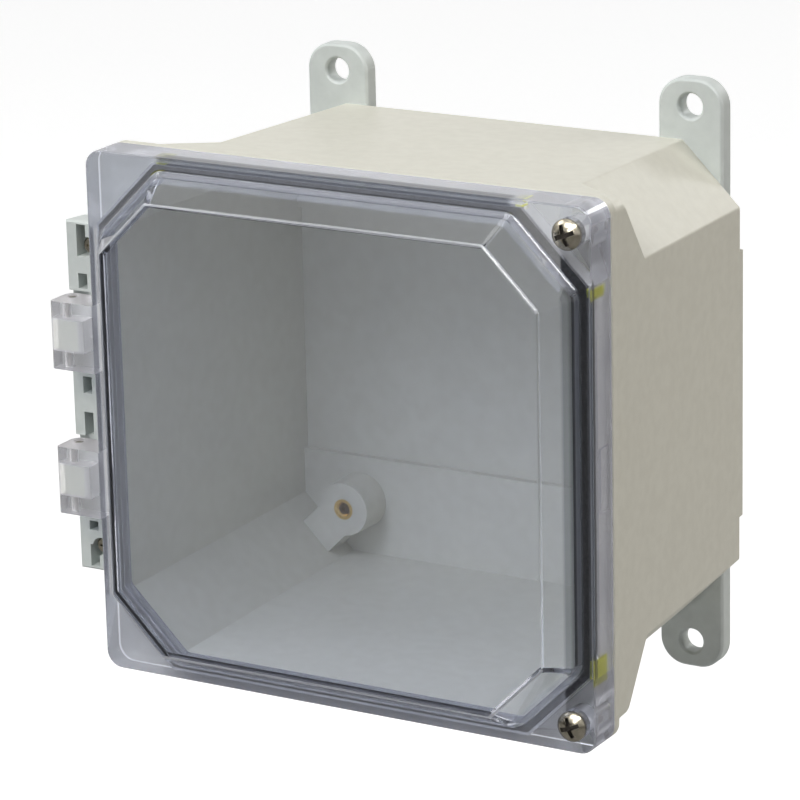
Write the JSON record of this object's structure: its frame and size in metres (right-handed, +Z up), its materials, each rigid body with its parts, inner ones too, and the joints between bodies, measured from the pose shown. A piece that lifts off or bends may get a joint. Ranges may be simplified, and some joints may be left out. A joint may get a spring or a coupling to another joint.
{
  "type": "wall-mount enclosure",
  "caption": "Moulded wall-mount enclosure with eight-sided tapered walls, a hinged clear cover with a raised window, captive cover screws and mounting feet.",
  "frame": {"origin": "centre of the four foot holes, on the wall plane that the feet's backs touch", "axes": "+X to the right seen from the front, +Z up the wall, the cover faces -Y and the wall is on +Y"},
  "size_m": [0.1946, 0.1329, 0.1978],
  "materials": {
    "body": "fine-grained light beige moulding",
    "rail": "satin pale grey moulding",
    "feet": "satin pale grey moulding",
    "cover": "clear polished polycarbonate",
    "gasket": "black cast foam",
    "steel": "bright stainless steel",
    "retainers": "natural white nylon",
    "inserts": "plain machined brass"
  },
  "bodies": {
    "box": {"enclosure_body": "body", "hinge_rail": "rail", "rail_screw_upper": "steel", "rail_screw_lower": "steel", "hinge_pin_upper": "steel", "hinge_pin_lower": "steel", "cover_insert_upper": "inserts", "cover_insert_lower": "inserts", "panel_insert_upper_left": "inserts", "panel_insert_upper_right": "inserts", "panel_insert_lower_left": "inserts", "panel_insert_lower_right": "inserts", "mounting_foot_upper_left": "feet", "mounting_foot_upper_right": "feet", "mounting_foot_lower_left": "feet", "mounting_foot_lower_right": "feet", "foot_screw_upper_left": "steel", "foot_screw_upper_right": "steel", "foot_screw_lower_left": "steel", "foot_screw_lower_right": "steel", "foot_insert_upper_left": "inserts", "foot_insert_upper_right": "inserts", "foot_insert_lower_left": "inserts", "foot_insert_lower_right": "inserts"},
    "cover": {"clear_cover": "cover", "gasket": "gasket"},
    "retainer_upper": {"screw_retainer_upper": "retainers"},
    "retainer_lower": {"screw_retainer_lower": "retainers"},
    "screw_upper": {"cover_screw_upper": "steel"},
    "screw_lower": {"cover_screw_lower": "steel"}
  },
  "joints": [
    {"name": "cover_hinge", "type": "hinge", "parent": "box", "child": "cover", "pos_m": [-0.1012, -0.1128, 0], "axis": [0, 0, -1], "range_deg": [0, 110]},
    {"name": "screw_travel_upper", "type": "slide", "parent": "cover", "child": "retainer_upper", "axis": [0, -1, 0], "range_m": [0, 0.00635]},
    {"name": "screw_turn_upper", "type": "hinge", "parent": "retainer_upper", "child": "screw_upper", "pos_m": [0.0811, -0.1201, 0.0771], "axis": [0, -1, 0], "range_deg": [0, 2880]},
    {"name": "screw_travel_lower", "type": "slide", "parent": "cover", "child": "retainer_lower", "axis": [0, -1, 0], "range_m": [0, 0.00635]},
    {"name": "screw_turn_lower", "type": "hinge", "parent": "retainer_lower", "child": "screw_lower", "pos_m": [0.0811, -0.1201, -0.0771], "axis": [0, -1, 0], "range_deg": [0, 2880]}
  ],
  "couplings": [
    {"joint": "screw_turn_upper", "follows": "screw_travel_upper", "rad_per_m": 7915.8},
    {"joint": "screw_turn_lower", "follows": "screw_travel_lower", "rad_per_m": 7915.8}
  ]
}
